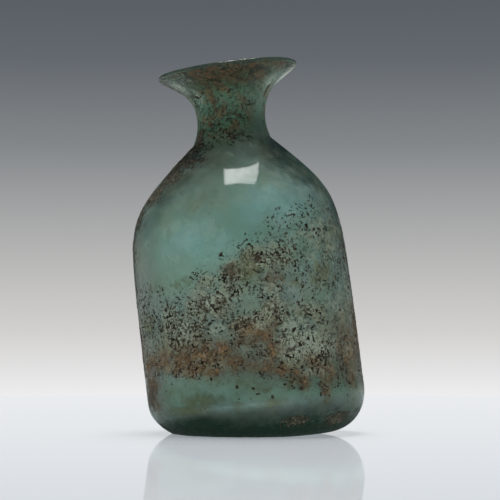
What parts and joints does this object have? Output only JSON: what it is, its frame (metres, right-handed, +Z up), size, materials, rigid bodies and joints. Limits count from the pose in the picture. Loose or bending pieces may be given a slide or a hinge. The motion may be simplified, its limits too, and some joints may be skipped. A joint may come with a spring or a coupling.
{
  "type": "apothecary bottle",
  "caption": "Leaning free-blown glass medicine bottle with a round body, sloping shoulder, short neck, funnel mouth and a base slumped flat, hollow and empty.",
  "frame": {"origin": "middle of the bottle's overall box, on the surface that it stands on", "axes": "+Z up, the body leans towards -X, +Y is the far side"},
  "size_m": [0.0624, 0.0582, 0.1008],
  "materials": {
    "glass": "glossy blue-green glass, dulled, pitted and stained brown by burial"
  },
  "bodies": {
    "root": {"bottle": "glass"}
  },
  "joints": []
}
